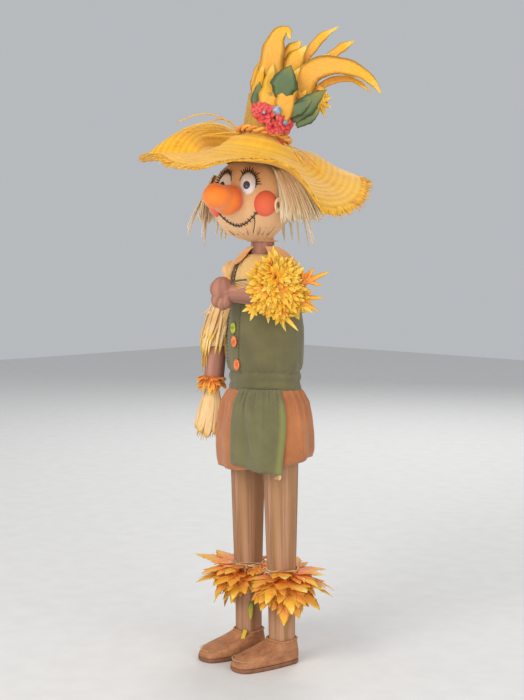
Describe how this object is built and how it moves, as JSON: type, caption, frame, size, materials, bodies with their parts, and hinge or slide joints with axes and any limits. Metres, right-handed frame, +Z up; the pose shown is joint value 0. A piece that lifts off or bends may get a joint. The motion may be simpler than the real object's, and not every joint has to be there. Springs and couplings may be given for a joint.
{
  "type": "scarecrow figure",
  "caption": "Standing scarecrow doll with a wide straw hat, a leaf plume, a turning stuffed head and jointed arms, in a bodice, skirt and apron on post legs.",
  "frame": {"origin": "on the ground, below the middle of the hat brim, which is the middle of the part's box", "axes": "+Z up, -Y is the doll's front, +X is the doll's left side"},
  "size_m": [0.2134, 0.2085, 0.6009],
  "materials": {
    "shoe_leather": "matt tan-brown, worn at the toes",
    "sole": "matt brown",
    "steel": "plain",
    "bark": "mauve-brown wood grain with dark streaks",
    "bare_wood": "plain dowel",
    "foam": "off-white stuffing foam",
    "leaf": "printed yellow to orange artificial leaf cloth",
    "green_leaf": "dark green artificial leaf cloth",
    "raffia": "pale raffia strands",
    "husk": "pale corn husk with yellow tips",
    "tie_cord": "brown twine",
    "rust_cloth": "rust-brown plain weave",
    "green_cloth": "olive-green plain weave",
    "blouse_cloth": "tan plain weave",
    "collar_cloth": "peach-tan felt",
    "strap_leather": "dark brown",
    "green_button": "shiny yellow-green",
    "orange_button": "shiny orange",
    "burlap": "tan burlap-like face cloth",
    "nylon": "white bearing nylon",
    "nose_felt": "soft orange felt, redder at its base",
    "eye_white": "shiny white",
    "pupil": "shiny dark blue-grey",
    "cheek_felt": "soft coral felt",
    "thread": "black thread",
    "straw": "yellow straw, matt",
    "band": "yellow-orange twisted band",
    "flower": "red to pink petals",
    "berry": "blue-white glass-like bead"
  },
  "bodies": {
    "root": {"left_shoe_sole": "sole", "right_shoe_sole": "sole", "left_shoe": "shoe_leather", "right_shoe": "shoe_leather", "foot_weights": "steel", "foot_screws": "steel", "left_leg": "bark", "right_leg": "bark", "left_leg_leaves": "leaf", "right_leg_leaves": "leaf", "leg_ties": "raffia", "hip_block": "bare_wood", "hip_screws": "steel", "spine": "bare_wood", "torso_foam": "foam", "chest_block": "bare_wood", "shoulder_axle": "steel", "axle_caps": "steel", "neck_post": "bark", "skirt": "rust_cloth", "apron": "green_cloth", "waistband": "green_cloth", "bodice": "green_cloth", "blouse": "blouse_cloth", "collar": "collar_cloth", "straps": "strap_leather", "green_button": "green_button", "orange_buttons": "orange_button"},
    "head": {"head_core": "foam", "head_cover": "burlap", "neck_bush": "nylon", "nose": "nose_felt", "eyes": "eye_white", "pupils": "pupil", "cheeks": "cheek_felt", "face_thread": "thread", "left_hair": "raffia", "right_hair": "raffia", "back_hair": "raffia", "hat_brim": "straw", "hat_crown": "straw", "crown_foam": "foam", "hat_band": "band", "hat_flowers": "flower", "hat_berries": "berry", "hat_green_leaves": "green_leaf", "hat_plume": "leaf"},
    "right_upper_arm": {"right_upper_arm": "bare_wood", "right_sleeve": "husk", "right_elbow_pin": "steel"},
    "right_forearm": {"right_forearm": "bark", "right_cuff_leaves": "leaf", "right_cuff_tie": "tie_cord", "right_hand": "husk"},
    "left_upper_arm": {"left_upper_arm": "bare_wood", "left_sleeve": "husk", "left_elbow_pin": "steel"},
    "left_forearm": {"left_forearm": "bark", "left_cuff_leaves": "leaf", "left_hand": "bark"}
  },
  "joints": [
    {"name": "head_turn", "type": "hinge", "parent": "root", "child": "head", "pos_m": [0.004, 0.007, 0.397], "axis": [0, 0, 1], "range_deg": [-65, 25]},
    {"name": "right_shoulder", "type": "hinge", "parent": "root", "child": "right_upper_arm", "pos_m": [-0.033, 0.007, 0.364], "axis": [-1, 0, 0], "range_deg": [0, 60]},
    {"name": "right_elbow", "type": "hinge", "parent": "right_upper_arm", "child": "right_forearm", "pos_m": [-0.041, -0.008, 0.316], "axis": [-1, 0, 0], "range_deg": [0, 60]},
    {"name": "left_shoulder", "type": "hinge", "parent": "root", "child": "left_upper_arm", "pos_m": [0.041, 0.007, 0.364], "axis": [-1, 0, 0], "range_deg": [0, 35]},
    {"name": "left_elbow", "type": "hinge", "parent": "left_upper_arm", "child": "left_forearm", "pos_m": [0.051, -0.011, 0.346], "axis": [0, 0, 1], "range_deg": [0, 60]}
  ]
}
